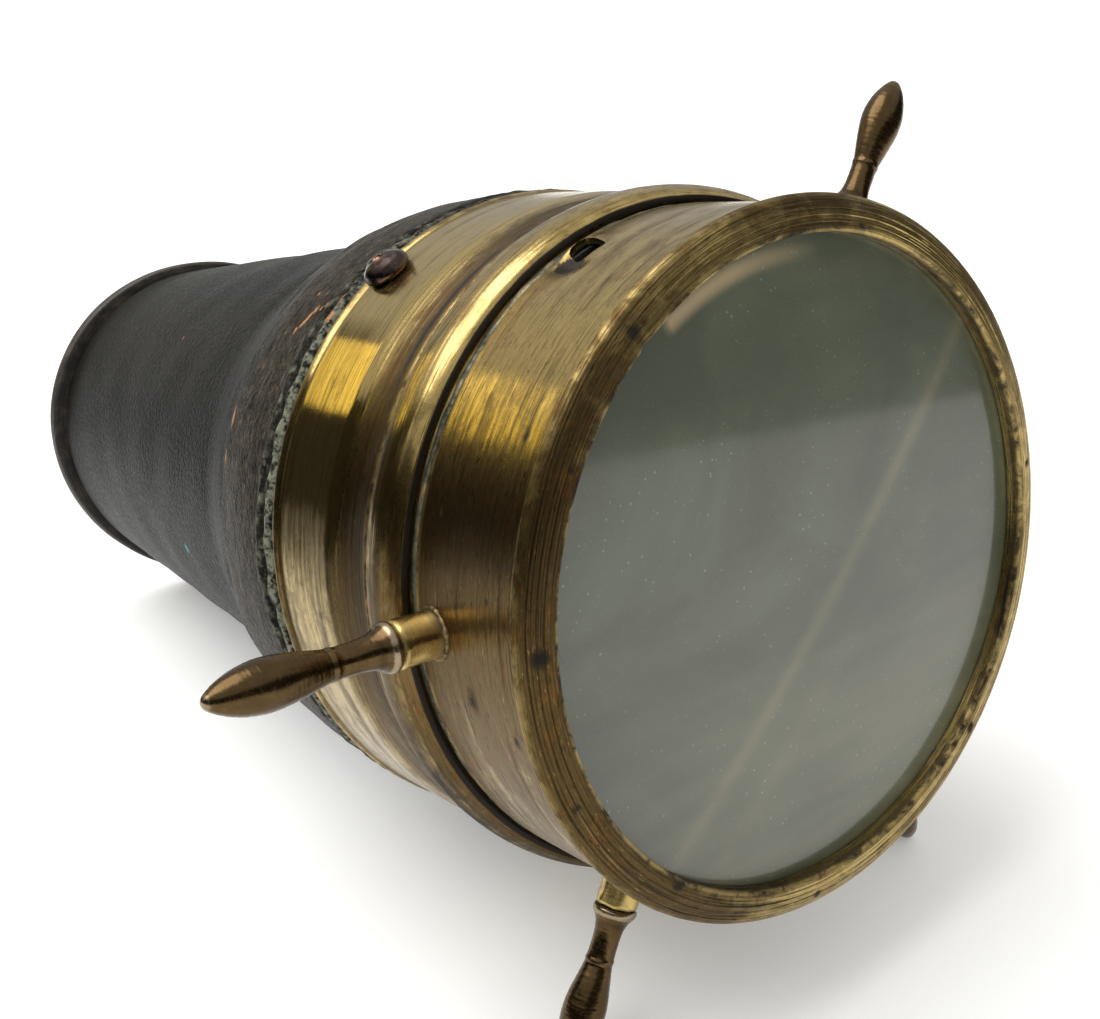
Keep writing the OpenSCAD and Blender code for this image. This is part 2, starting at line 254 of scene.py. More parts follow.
class Finish:
    """Writes the nodes of one procedural material, in millimetres of the piece's own frame."""

    def __init__(self, name, on_frame=False):
        self.material = bpy.data.materials.new(name)
        self.material.use_nodes = True
        self.tree = self.material.node_tree
        self.tree.nodes.clear()
        self.output = self.node("ShaderNodeOutputMaterial")
        source = self.node("ShaderNodeTexCoord").outputs["Object"]
        if on_frame:
            spot = {"Vector": source, "Location": AXIS.translation,
                    "Rotation": AXIS.to_euler(), "Scale": (MM, MM, MM)}
            self.here = self.node("ShaderNodeMapping", spot, vector_type="TEXTURE").outputs[0]
        else:
            spot = {"Vector": source, "Scale": (1 / MM, 1 / MM, 1 / MM)}
            self.here = self.node("ShaderNodeMapping", spot).outputs[0]

    def node(self, kind, values=None, **settings):
        made = self.tree.nodes.new(kind)
        for key, value in settings.items():
            setattr(made, key, value)
        for socket, value in (values or {}).items():
            if isinstance(value, bpy.types.NodeSocket):
                self.tree.links.new(value, made.inputs[socket])
            elif value is not None:
                made.inputs[socket].default_value = value
        return made

    def scaled(self, x, y, z):
        return self.node("ShaderNodeMapping", {"Vector": self.here, "Scale": (x, y, z)}).outputs[0]

    def streaks(self, around, across):
        """Coordinates that stretch a pattern around the axis, on walls and on faces alike."""
        parts = self.node("ShaderNodeSeparateXYZ", {0: self.here}).outputs
        flat = self.node("ShaderNodeCombineXYZ", {0: parts[0], 1: parts[1]}).outputs[0]
        radius = self.node("ShaderNodeVectorMath", {0: flat}, operation="LENGTH").outputs["Value"]
        depth = self.math("SUBTRACT", parts[2], radius)
        return self.node("ShaderNodeCombineXYZ", {
            0: self.times(parts[0], around),
            1: self.times(parts[1], around),
            2: self.times(depth, across),
        }).outputs[0]

    def noise(self, vector, scale=1.0, detail=3.0, rough=0.55, warp=0.0):
        return self.node("ShaderNodeTexNoise", {
            "Vector": vector, "Scale": scale, "Detail": detail, "Roughness": rough,
            "Distortion": warp,
        }).outputs[0]

    def cells(self, vector, scale, feature="F1"):
        return self.node("ShaderNodeTexVoronoi", {"Vector": vector, "Scale": scale},
                         feature=feature).outputs["Distance"]

    def math(self, operation, a, b, clamp=False):
        return self.node("ShaderNodeMath", {0: a, 1: b}, operation=operation,
                         use_clamp=clamp).outputs[0]

    def plus(self, a, b, clamp=False):
        return self.math("ADD", a, b, clamp)

    def times(self, a, b):
        return self.math("MULTIPLY", a, b)

    def window(self, value, low, high, out_low=0.0, out_high=1.0):
        """Smoothly carries value from low..high to out_low..out_high."""
        return self.node("ShaderNodeMapRange", {
            "Value": value, "From Min": low, "From Max": high, "To Min": out_low,
            "To Max": out_high,
        }, interpolation_type="SMOOTHSTEP").outputs[0]

    def painted(self, name):
        return self.node("ShaderNodeAttribute", attribute_name=name).outputs["Fac"]

    def mix(self, factor, a, b):
        return self.node("ShaderNodeMix", {0: factor, 6: colour(a), 7: colour(b)},
                         data_type="RGBA").outputs[2]

    def bump(self, height, depth_mm, under=None):
        return self.node("ShaderNodeBump", {
            "Height": height, "Distance": depth_mm * MM, "Strength": 1.0, "Normal": under,
        }).outputs[0]

    def shade(self, **sockets):
        """Ends the material in one principled surface."""
        surface = self.node("ShaderNodeBsdfPrincipled",
                            {key.replace("_", " "): value for key, value in sockets.items()})
        self.tree.links.new(surface.outputs[0], self.output.inputs[0])
        return self.material


def colour(value):
    """A colour as four numbers, or a socket as it is."""
    if isinstance(value, bpy.types.NodeSocket):
        return value
    return (*value, 1.0)


def dimmed(value, share):
    """A colour with all its parts scaled."""
    return [part * share for part in value]


def brushed_brass(name, clean, tarnish, soot_and_shade, gloss, brush, wear=0.5, speckle=1.0, fine=1.0):
    """Turned brass: hair lines around the axis, tarnish where it is painted old and where shade is
    painted on a lower side, soot in dirt and as painted shade in gaps, dark pits and bright ridges.
    Reads the painted numbers relief, soil_and_shade and age_and_shade."""
    f = Finish(name)
    hair = f.noise(f.streaks(0.07, 4.6), detail=4, rough=0.6)
    lines = f.noise(f.streaks(0.05, 1.5), detail=5, rough=0.66)
    broad = f.noise(f.streaks(0.022, 0.34), detail=3, rough=0.55, warp=0.3)
    cloud = f.noise(f.scaled(0.06, 0.06, 0.06), detail=5, rough=0.6)
    stain = f.noise(f.scaled(0.20, 0.20, 0.34), detail=7, rough=0.7, warp=0.5)
    pits = f.noise(f.scaled(1.5, 1.5, 2.1), detail=3, rough=0.6)
    dashes = f.noise(f.streaks(0.45, 2.4), detail=5, rough=0.7)
    relief, soil_and_shade, age_and_shade = (f.painted(k) for k in ("relief", "soil_and_shade", "age_and_shade"))

    uneven = f.plus(f.times(broad, 0.9), f.times(stain, 0.9))
    aged_and_shaded = f.window(f.plus(age_and_shade, uneven), 0.95, 1.65)
    base = f.mix(aged_and_shaded, clean, tarnish)
    rust = f.times(f.window(stain, 0.52, 0.66), f.window(age_and_shade, 0.15, 0.8, 0.08, 0.7))
    base = f.mix(rust, base, (0.17, 0.078, 0.022))
    pale = f.window(lines, 0.58, 0.72, 0, 0.22 * fine)
    base = f.mix(pale, base, f.mix(0.5, clean, (0.46, 0.38, 0.27)))
    etched = f.window(lines, 0.46, 0.34, 0, 0.6 * fine)
    base = f.mix(etched, base, dimmed(tarnish, 0.6))
    scratch = f.plus(hair, f.times(lines, 0.6))
    scratch = f.window(scratch, 0.85, 1.02, 0, 0.8 * fine)
    base = f.mix(scratch, base, dimmed(tarnish, 0.3))
    flecks = f.window(dashes, 0.54, 0.66, 0, 0.75 * fine)
    flecks = f.times(flecks, f.window(age_and_shade, 0.0, 0.7, 0.4, 1.0))
    base = f.mix(flecks, base, dimmed(tarnish, 0.35))
    bared = f.times(f.window(dashes, 0.40, 0.30, 0, 0.55 * fine), age_and_shade)
    base = f.mix(bared, base, clean)
    hollow = f.window(relief, -0.02, -0.12, 0, 0.85)
    dirt_and_shade = f.times(hollow, f.window(cloud, 0.3, 0.55, 0.45, 1.0))
    crust = f.times(soil_and_shade, f.window(stain, 0.34, 0.52, 0.35))
    # soil_and_shade near 1 gives full soot: dirt, and painted shade in the gaps and inside the torn
    # seat
    dirt_and_shade = f.math("MAXIMUM", dirt_and_shade, f.math("MAXIMUM", crust, f.window(soil_and_shade, 0.9, 1.0)))
    base = f.mix(dirt_and_shade, base, soot_and_shade)
    ridges = f.window(relief, 0.015, 0.08, 0, wear)
    polish = f.times(ridges, f.window(stain, 0.60, 0.40))
    base = f.mix(polish, base, [min(1, part * 1.25) for part in clean])
    hole = f.window(pits, 0.69, 0.75, 0, 0.85 * speckle)
    base = f.mix(hole, base, (0.025, 0.015, 0.01))

    rough = f.window(hair, 0.3, 0.75, gloss, gloss + 0.08)
    rough = f.plus(rough, f.times(aged_and_shaded, 0.22))
    rough = f.plus(rough, f.times(dirt_and_shade, 0.28), clamp=True)
    metal = f.window(f.math("MAXIMUM", dirt_and_shade, hole), 0.3, 1.0, 1.0, 0.6)
    bump = f.bump(f.math("SUBTRACT", hair, hole), 0.005 * brush)
    bump = f.bump(lines, 0.008 * brush, under=bump)
    bump = f.bump(f.times(stain, aged_and_shaded), 0.025, under=bump)
    tangent = f.node("ShaderNodeTangent", direction_type="RADIAL", axis="Z").outputs[0]
    return f.shade(Base_Color=base, Metallic=metal, Roughness=rough, Normal=bump,
                   Anisotropic=0.75, Anisotropic_Rotation=0.25, Tangent=tangent)


def old_leather(name, skin, worn, edge):
    """Fine grained dark leather with a rubbed brown cuff, a bleached turned edge and tan scuffs.
    Reads the painted numbers cuff, pale, scuff and fleck."""
    f = Finish(name, on_frame=True)
    grain = f.cells(f.here, 1.7, "SMOOTH_F1")
    pebble = f.noise(f.here, 0.8, detail=4, rough=0.62)
    fibre = f.noise(f.streaks(0.34, 1.0), detail=5, rough=0.66)
    cloud = f.noise(f.scaled(0.05, 0.05, 0.05), detail=5, rough=0.6)
    rub = f.noise(f.scaled(0.6, 0.6, 0.6), detail=6, rough=0.72)
    cuff, pale, scuff, fleck = (f.painted(k) for k in ("cuff", "pale", "scuff", "fleck"))

    base = f.mix(f.window(cloud, 0.35, 0.68), skin, dimmed(skin, 1.6))
    # pebble tops painted lighter and valleys darker: painted light and shade of the grain's relief
    base = f.mix(f.window(pebble, 0.5, 0.64, 0, 0.45), base, dimmed(skin, 3.2))
    base = f.mix(f.window(pebble, 0.42, 0.32, 0, 0.7), base, dimmed(skin, 0.4))
    rubbed = f.times(cuff, f.window(f.plus(fibre, rub), 0.80, 1.20))
    base = f.mix(rubbed, base, worn)
    streak = f.times(cuff, f.window(f.plus(fibre, pebble), 1.08, 1.3, 0, 0.6))
    base = f.mix(streak, base, (0.15, 0.115, 0.08))
    bleach = f.times(pale, f.window(f.plus(rub, pebble), 0.86, 1.14))
    base = f.mix(bleach, base, edge)
    torn = f.window(f.plus(scuff, f.times(rub, 1.1)), 0.92, 1.06)
    tan = f.mix(f.window(fibre, 0.4, 0.6), (0.44, 0.225, 0.10), (0.27, 0.115, 0.05))
    base = f.mix(torn, base, tan)
    base = f.mix(f.window(fleck, 0.3, 0.6), base, (0.02, 0.30, 0.29))

    rough = f.window(f.plus(grain, pebble), 0.4, 1.2, 0.30, 0.46)
    rough = f.plus(rough, f.times(bleach, 0.3), clamp=True)
    bump = f.bump(grain, 0.16)
    bump = f.bump(pebble, 0.34, under=bump)
    bump = f.bump(f.times(fibre, cuff), 0.13, under=bump)
    bump = f.bump(f.times(rub, pale), 0.25, under=bump)
    bump = f.bump(f.times(torn, -1.0), 0.12, under=bump)
    return f.shade(Base_Color=base, Roughness=rough, Normal=bump, Specular_IOR_Level=0.06)


def blackened(name, tone, rubbed, gloss, on_frame=False):
    """A dark lacquered or card surface with rubbed brown high spots and fine lines around it."""
    f = Finish(name, on_frame)
    lines = f.noise(f.streaks(0.06, 1.4), detail=5, rough=0.6)
    spots = f.noise(f.scaled(0.35, 0.35, 0.35), detail=6, rough=0.65)
    wear = f.window(f.plus(lines, spots), 0.92, 1.3, 0, 0.9)
    base = f.mix(wear, tone, rubbed)
    rough = f.window(spots, 0.3, 0.7, gloss, gloss + 0.25)
    bump = f.bump(f.plus(lines, spots), 0.05)
    return f.shade(Base_Color=base, Roughness=rough, Normal=bump)


def aged_bronze(name, dark, bright, copper):
    """Nearly black turned bronze, its high spots rubbed back to brown metal."""
    f = Finish(name)
    rings = f.noise(f.streaks(0.18, 3.0), detail=4, rough=0.6)
    cloud = f.noise(f.scaled(0.22, 0.22, 0.11), detail=5, rough=0.6, warp=0.4)
    nicks = f.noise(f.scaled(1.6, 1.6, 1.6), detail=4, rough=0.65)
    relief, mark_here = f.painted("relief"), f.painted("copper")
    base = f.mix(f.window(cloud, 0.36, 0.66), dark, bright)
    base = f.mix(mark_here, base, (0.42, 0.22, 0.12))
    rubbed = f.window(f.plus(relief, f.times(nicks, 0.12)), 0.10, 0.20, 0, 0.55)
    base = f.mix(rubbed, base, copper)
    base = f.mix(f.window(relief, -0.03, -0.12, 0, 0.9), base, (0.02, 0.014, 0.01))
    base = f.mix(f.window(nicks, 0.68, 0.76, 0, 0.4), base, (0.015, 0.01, 0.008))
    rough = f.window(f.plus(rings, nicks), 0.7, 1.3, 0.17, 0.33)
    bump = f.bump(rings, 0.003)
    bump = f.bump(nicks, 0.008, under=bump)
    return f.shade(Base_Color=base, Metallic=1.0, Roughness=rough, Normal=bump)


def solder(name, grey):
    """Dull grey green solder with a crust of tarnish."""
    f = Finish(name)
    crust = f.noise(f.scaled(0.9, 0.9, 0.9), detail=6, rough=0.68)
    cloud = f.noise(f.scaled(0.2, 0.2, 0.2), detail=3)
    base = f.mix(f.window(crust, 0.4, 0.64), grey, dimmed(grey, 0.28))
    base = f.mix(f.window(cloud, 0.5, 0.66, 0, 0.5), base, (0.42, 0.30, 0.14))
    bump = f.bump(crust, 0.16)
    return f.shade(Base_Color=base, Metallic=0.75, Roughness=f.window(crust, 0.3, 0.7, 0.38, 0.66),
                   Normal=bump)


def dusty_glass(name, tint, dust):
    """Ground glass seen from its polished side, with dust, smears and a painted tan reflection of the
    bezel's inner lip.
    """
    f = Finish(name)
    milk = f.noise(f.scaled(0.028, 0.028, 0.028), detail=4, rough=0.55, warp=0.5)
    smear = f.noise(f.scaled(0.012, 0.07, 0.03), detail=3, rough=0.5)
    motes = f.cells(f.here, 0.55)
    fine = f.cells(f.here, 1.7)
    grit = f.noise(f.scaled(2.2, 2.2, 2.2), detail=2)
    cloudy, paper, streak = (f.painted(k) for k in ("cloudy", "paper", "streak"))
    base = f.mix(f.window(milk, 0.35, 0.7), tint, dimmed(tint, 1.8))
    base = f.mix(f.times(cloudy, f.window(smear, 0.35, 0.65, 0.25, 1.0)), base, dust)
    # paper is a painted reflection of the bezel's inner lip, in tan
    base = f.mix(f.times(paper, 0.9), base, (0.42, 0.32, 0.18))
    blurred = f.times(streak, f.window(smear, 0.3, 0.6, 0.25, 0.5))
    base = f.mix(blurred, base, (0.24, 0.205, 0.125))
    speck = f.times(f.window(motes, 0.16, 0.06), f.window(milk, 0.4, 0.6))
    speck = f.math("MAXIMUM", speck, f.times(f.window(fine, 0.17, 0.08), 0.5))
    base = f.mix(f.times(speck, 0.40), base, (0.42, 0.44, 0.38))
    rough = f.window(grit, 0.3, 0.7, 0.32, 0.44)
    coat = f.window(f.plus(speck, grit), 0.3, 1.4, 0.82, 0.55)
    return f.shade(Base_Color=base, Roughness=rough, Coat_Weight=coat, Coat_Roughness=0.07,
                   Normal=f.bump(milk, 0.02), IOR=1.5, Transmission_Weight=0.12)


def clear_piece(name, tint):
    """Old clear or tinted glass with faint unevenness."""
    f = Finish(name, on_frame=True)
    wave = f.noise(f.scaled(0.08, 0.08, 0.08), detail=2)
    haze = f.noise(f.scaled(0.5, 0.5, 0.5), detail=5)
    return f.shade(Base_Color=f.mix(f.window(haze, 0.4, 0.7, 0, 0.3), tint, (0.7, 0.7, 0.66)),
                   Roughness=f.window(haze, 0.3, 0.7, 0.05, 0.20),
                   Transmission_Weight=0.9, IOR=1.5, Normal=f.bump(wave, 0.03))


def plain_stuff(name, light, dark, gloss, metallic=0.0, grain=(0.4, 0.4, 0.4), depth=0.08):
    """Card, wood or silvering on a frame part, with its own grain."""
    f = Finish(name, on_frame=True)
    fibres = f.noise(f.scaled(*grain), detail=6, rough=0.65)
    cloud = f.noise(f.scaled(0.05, 0.05, 0.05), detail=3)
    base = f.mix(f.window(f.plus(fibres, cloud), 0.8, 1.25), light, dark)
    return f.shade(Base_Color=base, Roughness=f.window(fibres, 0.3, 0.7, gloss, gloss + 0.2),
                   Metallic=metallic, Normal=f.bump(fibres, depth))


# ---------------------------------------------------------------- settings


def size_setting(name, description, default, low, high):
    return FloatProperty(name=name, description=description, default=default, min=low, max=high,
                         subtype="DISTANCE", unit="LENGTH", precision=5)


def colour_setting(name, description, default):
    return FloatVectorProperty(name=name, description=description, default=default, size=3,
                               min=0, max=1, subtype="COLOR")


class KaleidoscopeSizes(bpy.types.PropertyGroup):
    """Fine sizes of the visible pieces."""

    leather_edge: size_setting(
        "Turned edge", "Height of the leather's turned edge", 0.0005, 0, 0.001)
    edge_lumps: size_setting("Edge lumps", "How far the turned edge wavers", 0.00022, 0, 0.0005)
    groove_depth: size_setting(
        "Bezel grooves", "Depth of the grooves turned in the bezel", 0.00022, 0, 0.0005)
    tool_marks: size_setting(
        "Tool marks", "Height of the turning marks on the brass", 0.00002, 0, 0.0001)
    solder_bead: size_setting(
        "Solder bead", "Thickness of the solder at a socket's foot", 0.0007, 0.0002, 0.0015)
    columns: IntProperty(name="Steps around", description="Steps around the turned pieces",
                         default=540, min=90, max=720)


class KaleidoscopeColours(bpy.types.PropertyGroup):
    """Base colours of the finishes."""

    brass: colour_setting("Brass", "Clean brass", (0.51, 0.375, 0.140))
    # tarnish is also the colour of the painted shade over the band's lower side
    tarnish: colour_setting("Tarnish", "Brown tarnish on brass", (0.150, 0.098, 0.038))
    # soot_and_shade is dark tarnish in hollows and also the colour of painted shade in gaps and inside
    # the torn seat
    soot_and_shade: colour_setting("Soot", "Dark tarnish in hollows", (0.020, 0.014, 0.009))
    bronze: colour_setting("Bronze", "Dark bronze of handles and screws", (0.074, 0.047, 0.021))
    leather: colour_setting("Leather", "Dark leather", (0.0058, 0.0058, 0.0049))
    cuff: colour_setting("Cuff", "Rubbed brown leather", (0.047, 0.035, 0.024))
    edge: colour_setting("Edge", "Bleached edge of the leather", (0.20, 0.205, 0.155))
    glass: colour_setting("Glass", "Ground glass", (0.053, 0.062, 0.037))
    dust: colour_setting("Dust", "Dust on the glass", (0.160, 0.157, 0.100))
    floor: colour_setting("Floor", "Pale studio floor", (0.86, 0.86, 0.85))


class KaleidoscopeLights(bpy.types.PropertyGroup):
    """Strengths of the studio lights."""

    overhead: FloatProperty(name="Overhead", description="Strength of the soft overhead light",
                            default=2.3, min=0, max=10)
    strip: FloatProperty(name="Warm panel", description="Power of the warm panel behind the barrel",
                         default=0.50, min=0, max=100, unit="POWER")
    room: FloatProperty(name="Room", description="Strength of the light from the room",
                        default=0.86, min=0, max=5)


def sizes():
    return bpy.context.scene.kaleidoscope_sizes


def colours():
    return bpy.context.scene.kaleidoscope_colours


def even_rolls(count=None):
    """Evenly spaced rolls around a turned piece, in degrees."""
    count = count or sizes().columns
    return np.arange(count) * 360 / count


class BuildStep:
    """What all of the build steps share."""

    bl_options = {"REGISTER", "UNDO"}

    def execute(self, context):
        self.build()
        return {"FINISHED"}


# ---------------------------------------------------------------- pieces


class KALEIDOSCOPE_OT_leather(BuildStep, bpy.types.Operator):
    """Leather cover with its flare, rubbed cuff and lumpy turned edge"""

    bl_idname = "kaleidoscope.leather"
    bl_label = "Leather cover"

    def build(self):
        edge = sizes().leather_edge / MM
        lumps = sizes().edge_lumps / MM
        barrel = rounded([
            (LEATHER_START, 43.6), (8.1, 44.5), (8.8, 44.85), (30, 46.62), (FLARE_START, 54.68),
        ], 1.1, 1)
        flare = rounded([
            (126.6, 54.75), (132, 55.85), (138, 57.8), (144, 60.1), (149, 61.7), (154, 62.8),
            (160, 63.6), (166, 64.1), (171, 64.3),
        ], 0.75)
        turned = rounded([
            (171.4, 64.32), (172.2, 64.38), (173.0, 64.4 + edge * 0.7),
            (174.0, 64.4 + edge * 0.6), (174.7, 64.1), (175.2, 63.95), (175.7, 64.15),
            (176.2, 64.3 + edge), (177.2, 64.4 + edge), (177.9, 64.35), (178.35, 63.8),
            (178.4, 63.3),
        ], 0.24)
        inner = [
            (177.6, 63.2), (160, 62.6), (147, 60.8), (FLARE_START, 53.7), (LEATHER_START, 43.0),
        ]

        def waver_of(t):
            return swell(t.roll, 0, 8, (2, 7), (50, 90)) * 1.2

        def height(t):
            outer = (t.along < t.along.max() - 150) * 1.0
            near = fade(t.place, 170, 4)
            slope = ridge(t.place, 152, 26)
            rise = t.swell(3, (8, 60), (3, 12), 30) * lumps * near
            rise = rise + t.swell(4, (60, 170), (1.5, 5), 40) * lumps * 0.35 * near
            rise = rise + t.swell(5, (2, 9), (20, 60)) * 0.12
            rise = rise + t.swell(6, (5, 24), (6, 22)) * 0.10 * slope
            seam = np.exp(-(((t.place - 150.5 + waver_of(t)) / 1.1) ** 2))
            return (rise - seam * 0.07) * outer

        rows = np.vstack([barrel, flare, turned, inner])
        t = Turned("leather_skin", rows, even_rolls(), AXIS, height)
        ragged_start = t.swell(9, (20, 60), (5, 20)) * 1.4
        start = 151 + waver_of(t) * 1.2 + ragged_start
        t.paint("cuff", fade(t.place, start, 5) * np.maximum(fade(t.place, EDGE_CRACK, -3), 0.3))
        cracked_at = EDGE_CRACK + swell(t.roll, 0, 11, (20, 50), (40, 60)) * 0.25
        crack = 1 - ridge(t.place, cracked_at, 1.1)
        ragged = np.clip(0.25 + t.swell(12, (30, 110), (1.5, 4), 30) * 0.4, 0, 0.7)
        loose = fade(t.place, 172.2 + ragged_start * 0.3, 1.0) * ragged
        bleached = np.maximum(fade(t.place, 175.9, 0.5), loose) * crack
        darker = fade(t.roll, 118, -14) * fade(t.roll, 20, 30)
        t.paint("pale", bleached * (1 - darker * 0.85))
        # roll, place, half size around, half size along, lean
        scuffs = (
            (134.6, 167.2, 5.4, 1.3, -0.5), (132.2, 170.5, 3.6, 0.8, -0.5),
            (136.5, 165.2, 2.2, 0.7, -0.4), (131.0, 176.4, 4.4, 0.9, 0.05),
            (134.4, 177.2, 2.2, 0.8, 0.0), (129.5, 164.0, 2.4, 0.6, -0.4),
            (153.6, 153.2, 5.4, 0.9, 0.10), (160.0, 152.6, 5.4, 0.6, 0.07),
            (136.0, 84.0, 1.2, 0.6, 0.0), (146.0, 160.0, 1.6, 0.5, 0.2),
            (60.0, 168.0, 5.0, 0.9, 0.3), (292.0, 166.0, 6.0, 1.0, 0.3),
            (20.0, 172.0, 4.0, 0.7, 0.0), (338.0, 154.0, 5.0, 0.6, 0.1),
        )
        t.paint("scuff", np.max([t.mark(*scuff) for scuff in scuffs], 0))
        t.paint("fleck", t.mark(190.0, 102.0, 2.2, 1.8))
        c = colours()
        t.finish(old_leather("Old leather", c.leather, c.cuff, c.edge), "barrel", "barrel_leather",
                 "leather_cover", sharp=60, settle=True)


class KALEIDOSCOPE_OT_rim(BuildStep, bpy.types.Operator):
    """Dark rim at the eyepiece end"""

    bl_idname = "kaleidoscope.rim"
    bl_label = "Eyepiece rim"

    def build(self):
        outer = rounded([
            (0.9, 38.2), (0.05, 39.2), (0.0, 45.6), (0.35, 46.4), (1.2, 46.7), (3.4, 46.7),
            (4.2, 46.45), (4.5, 45.8), (4.5, 40.4),
        ], 0.3)
        inner = [(13.5, 40.3), (13.5, 38.2)]

        def height(t):
            dents = t.swell(21, (3, 14), (4, 9)) * 0.05
            chips = fade(t.swell(22, (40, 120), (2, 6)), 1.3, 1) * 0.16
            return (dents - chips) * (t.place < 5)

        t = Turned("rim_hoop", np.vstack([outer, inner]), even_rolls(), AXIS, height)
        finish = blackened("Dark rim", (0.020, 0.017, 0.014), (0.085, 0.062, 0.045), 0.42)
        t.finish(finish, "barrel", "dark_rim", "rim_ring")


class KALEIDOSCOPE_OT_band(BuildStep, bpy.types.Operator):
    """Brass band with its cove, groove and bead"""

    bl_idname = "kaleidoscope.band"
    bl_label = "Fixed band"

    def build(self):
        lip = rounded([
            (179.5, 62.8), (179.5, 64.5), (179.75, 64.85), (180.3, 64.95), (180.9, 64.8),
            (181.5, 64.45), (182.3, BAND_RADIUS),
        ], 0.16)
        wall = rounded([(182.6, BAND_RADIUS), (190, BAND_RADIUS), (198.4, BAND_RADIUS)], 0.45, 1)
        front = rounded([
            (198.7, 64.38), (199.4, 64.3), (202, 63.85), (204, 63.58), (206.5, 63.5), (209, 63.66),
            (210.4, 63.9), (210.9, 63.95), (211.3, 63.65), (211.5, 63.5), (211.9, 63.5),
            (212.1, 64.0), (212.5, 64.65), (213.6, 65.1), (215.2, 65.3), (216.9, 65.33),
            (218.4, 65.15), (219.6, 64.8), (220.5, 64.35), (221.2, 63.75), (221.55, 63.2),
            (221.6, 62.6),
        ], 0.2)
        inner = [(220.6, 61.5), (221.5, 60.5), (221.5, 55.1), (218.5, 55.1), (218.5, 62.8)]
        tool = sizes().tool_marks / MM

        def height(t):
            seen = t.radius > 63
            deeper = 0.2 + 0.8 * (t.place > 200)
            marks = t.swell(31, (0, 3), (0.6, 2.4), 24) * tool * deeper
            dents = t.swell(32, (3, 16), (10, 30)) * 0.02
            bruise = t.mark(131.0, 214.5, 7.0, 0.7, -0.03) * 0.16
            bruise += t.mark(121.0, 203.0, 5.0, 0.6, 0.1) * 0.12
            return (marks + dents - bruise) * seen

        t = Turned("band_turned", np.vstack([lip, wall, front, inner]), even_rolls(), AXIS, height)
        t.paint("relief", t.relief * (t.place < 219.5) * (t.radius > 63))
        groove = ridge(t.place, GROOVE_PLACE, 1.3)
        foot = sum(t.mark(roll, SCREW_PLACE, 6.0, 6.0) for roll in SCREW_ROLLS)
        streaks = fade(t.swell(33, (1, 5), (3, 9), 20), 0.9, 1) * 0.8
        cove = ridge(t.place, 205.5, 5) * 0.35 + ridge(t.place, 208.6, 3.2) * 0.45
        # painted shade on the bead's underside: extra soil from roll 185 round to 330
        below = fade(t.roll, 185, 20) * fade(t.roll, 330, -30)
        bead = ridge(t.place, 217, 6) * below * 1.1
        # painted shade in the gaps: the bead's front face by the case and the lip's rear face by the
        # leather are painted full soot
        face = (t.place > 221.3) * (t.radius < 63.5) + (t.place < 179.6) * (t.radius < 64.3)
        soil_and_shade = groove + foot * 1.2 + streaks * 0.5 + cove + bead + face * 3
        t.paint("soil_and_shade", np.clip(soil_and_shade, 0, 1))
        # painted shade over the lower side: more tarnish on band and bead from roll 160 round to 300,
        # less on the top
        lower = fade(t.roll, 160, 20) * fade(t.roll, 300, -30)
        worn = ridge(t.place, 207, 8) * 1.1 + ridge(t.place, 180, 2.4) * 0.6
        worn += ridge(t.place, 220.5, 5) * (0.15 + lower * 0.5)
        worn += ridge(t.place, 216, 9) * (0.30 + lower * 0.55)
        t.paint("age_and_shade", np.clip(worn * 0.8 + 0.06 + lower * 0.34, 0, 1))
        c = colours()
        finish = brushed_brass("Band brass", c.brass, c.tarnish, c.soot_and_shade, gloss=0.09, brush=0.9)
        t.finish(finish, "barrel", "turned_brass", "fixed_band")


class KALEIDOSCOPE_OT_screws(BuildStep, bpy.types.Operator):
    """Domed band screws with their bright feet"""

    bl_idname = "kaleidoscope.screws"
    bl_label = "Band screws"

    def build(self):
        dome = (
            (0.3, 0), (0.3, 4.2), (0.65, 4.45), (1.3, 4.4), (2.3, 3.85), (3.0, 2.9), (3.4, 1.8),
            (3.42, 0.95), (3.15, 0.62), (3.05, 0),
        )
        outline = rounded([(BAND_RADIUS + rise, radius) for rise, radius in dome], 0.16)
        finish = aged_bronze("Screw bronze", (0.034, 0.024, 0.022), (0.075, 0.052, 0.044),
                             (0.30, 0.17, 0.10))
        for number, roll in enumerate(SCREW_ROLLS):
            def height(t, seed=40 + number):
                lumps = t.swell(seed, (2, 6), (2, 6)) * 0.07
                return lumps * (t.radius > 0.9)

            t = Turned(f"screw_head_{number + 1}", outline, even_rolls(72),
                       seat_frame(roll, SCREW_PLACE), height, closed=False, blur=0.5)
            x, y = t.across()
            rubbed = np.clip(1.6 - np.hypot((x - 0.3) / 0.95, (y + 0.2) / 0.6), 0, 1)
            t.paint("copper", rubbed * (t.place > BAND_RADIUS + 2))
            nodes = ("band_screws",) if number == 0 else ()
            t.finish(finish, "barrel", "dark_bronze", *nodes, sharp=50)


